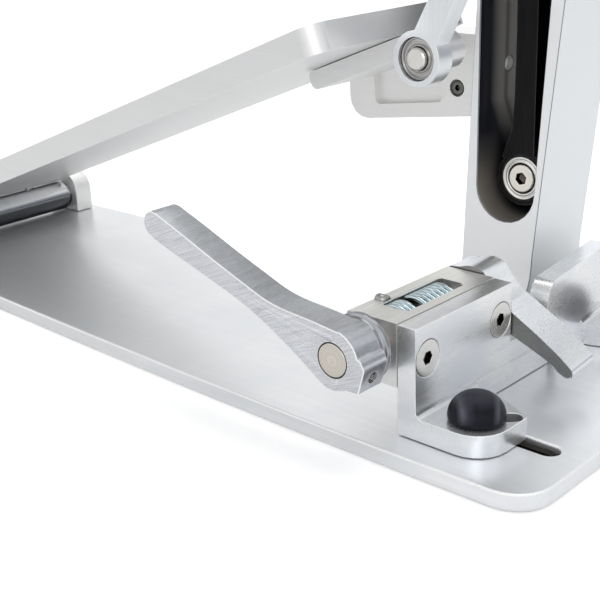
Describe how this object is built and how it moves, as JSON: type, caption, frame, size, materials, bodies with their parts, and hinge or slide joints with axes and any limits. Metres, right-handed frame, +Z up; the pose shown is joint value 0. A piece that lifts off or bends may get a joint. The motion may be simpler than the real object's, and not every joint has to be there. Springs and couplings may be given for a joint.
{
  "type": "bass drum pedal",
  "caption": "Single-post bass drum pedal in machined aluminium: footboard on a heel hinge, direct link drive to a sprung beater axle, lever-operated hoop clamp on a flat base plate.",
  "frame": {"origin": "underside of the base plate, on the centreline of the hoop clamp, under the back face of the clamp web", "axes": "+X towards the drum, +Y to the player's left (the post's side), +Z up"},
  "size_m": [0.4045, 0.1622, 0.3415],
  "materials": {
    "alu_satin": "satin, brushed along the part",
    "alu_brushed": "coarser brushed",
    "alu_fine": "finely finished",
    "steel": "turned stainless",
    "chrome": "polished",
    "zinc": "bright zinc plated",
    "black": "black anodised",
    "rubber": "moulded, faint rings",
    "felt": "pressed felt"
  },
  "bodies": {
    "base": {"base_plate": "alu_satin", "hinge_bracket_near": "alu_satin", "hinge_bracket_far": "alu_satin", "base_hinge_screw_near": "steel", "base_hinge_screw_far": "steel", "post": "alu_fine", "post_bolt_1": "steel", "post_bolt_2": "steel", "post_bolt_3": "steel", "rear_block": "alu_satin", "rear_block_screw": "steel", "rear_block_bolt": "steel", "axle_bearing_near": "steel", "axle_bearing_far": "steel", "spring_seat": "alu_brushed", "spring_seat_screw": "steel", "far_bracket_bolt": "steel"},
    "footboard": {"footboard": "alu_satin", "hinge_shaft": "chrome", "hinge_screw_1": "steel", "hinge_screw_2": "steel", "heel_stop": "alu_satin", "toe_bracket": "alu_satin", "toe_screw_1": "steel", "toe_screw_2": "steel", "toe_pin": "steel"},
    "drive_link": {"drive_link": "alu_brushed", "link_bearing_lower": "steel"},
    "axle": {"beater_axle": "chrome", "drive_crank": "alu_brushed", "crank_pin": "steel", "beater_hub": "alu_brushed", "beater_rod_screw": "steel", "spring_crank": "alu_brushed", "spring_crank_pin": "steel"},
    "beater_rod": {"beater_rod": "chrome"},
    "beater_head": {"beater_core": "alu_brushed", "beater_felt": "felt"},
    "pull_rod": {"pull_rod": "black", "pull_washer": "steel", "pull_screw": "steel", "spring_carriage": "alu_brushed", "return_spring": "zinc"},
    "clamp_bracket": {"clamp_bracket": "alu_satin", "clamp_block": "alu_satin", "clamp_screw_near": "steel", "clamp_screw_far": "steel", "bracket_bolt": "steel", "spring_anchor_pin": "steel", "torsion_spring": "zinc"},
    "clamp_lever": {"clamp_shaft": "steel", "hand_lever": "alu_brushed", "lever_grub": "steel", "jaw": "alu_brushed"},
    "bumper_near": {"bumper_near": "rubber", "bumper_stud_near": "steel"},
    "far_bracket": {"far_bracket": "alu_satin", "bumper_far": "rubber", "bumper_stud_far": "steel"}
  },
  "joints": [
    {"name": "board_press", "type": "hinge", "parent": "base", "child": "footboard", "pos_m": [-0.316, -0.0106, 0.01495], "axis": [0, 1, 0], "range_deg": [-0.8, 5.6]},
    {"name": "link_toe_pivot", "type": "hinge", "parent": "footboard", "child": "drive_link", "pos_m": [-0.0263, -0.017, 0.12375], "axis": [0, 1, 0], "range_deg": [-13.9, 2.9]},
    {"name": "beater_swing", "type": "hinge", "parent": "base", "child": "axle", "pos_m": [-0.014, 0.035, 0.19635], "axis": [0, 1, 0], "range_deg": [-8.8, 46.6]},
    {"name": "beater_height", "type": "slide", "parent": "axle", "child": "beater_rod", "axis": [-0.6947, 0, 0.7193], "range_m": [0, 0.014]},
    {"name": "beater_head_turn", "type": "hinge", "parent": "beater_rod", "child": "beater_head", "pos_m": [-0.08347, 0.012, 0.26828], "axis": [-0.6947, 0, 0.7193], "continuous": true},
    {"name": "spring_pull", "type": "slide", "parent": "base", "child": "pull_rod", "axis": [0, 0, 1], "range_m": [-0.0021, 0.0101], "deforming": ["return_spring"]},
    {"name": "clamp_depth", "type": "slide", "parent": "base", "child": "clamp_bracket", "axis": [1, 0, 0], "range_m": [-0.004, 0.006]},
    {"name": "hoop_clamp", "type": "hinge", "parent": "clamp_bracket", "child": "clamp_lever", "pos_m": [-0.0101, -0.04, 0.03825], "axis": [0, 1, 0], "range_deg": [-28, 3]},
    {"name": "bumper_slide", "type": "slide", "parent": "clamp_bracket", "child": "bumper_near", "axis": [0.7278, 0.6858, 0], "range_m": [-0.002, 0.009]},
    {"name": "far_bracket_swivel", "type": "hinge", "parent": "base", "child": "far_bracket", "pos_m": [0.0132, 0.0485, 0.00635], "axis": [0, 0, 1], "range_deg": [-4, 8]}
  ],
  "couplings": [
    {"joint": "link_toe_pivot", "follows": "board_press", "ratio": -2.38},
    {"joint": "beater_swing", "follows": "board_press", "ratio": 8.2},
    {"joint": "spring_pull", "follows": "board_press", "m_per_rad": 0.0998}
  ]
}
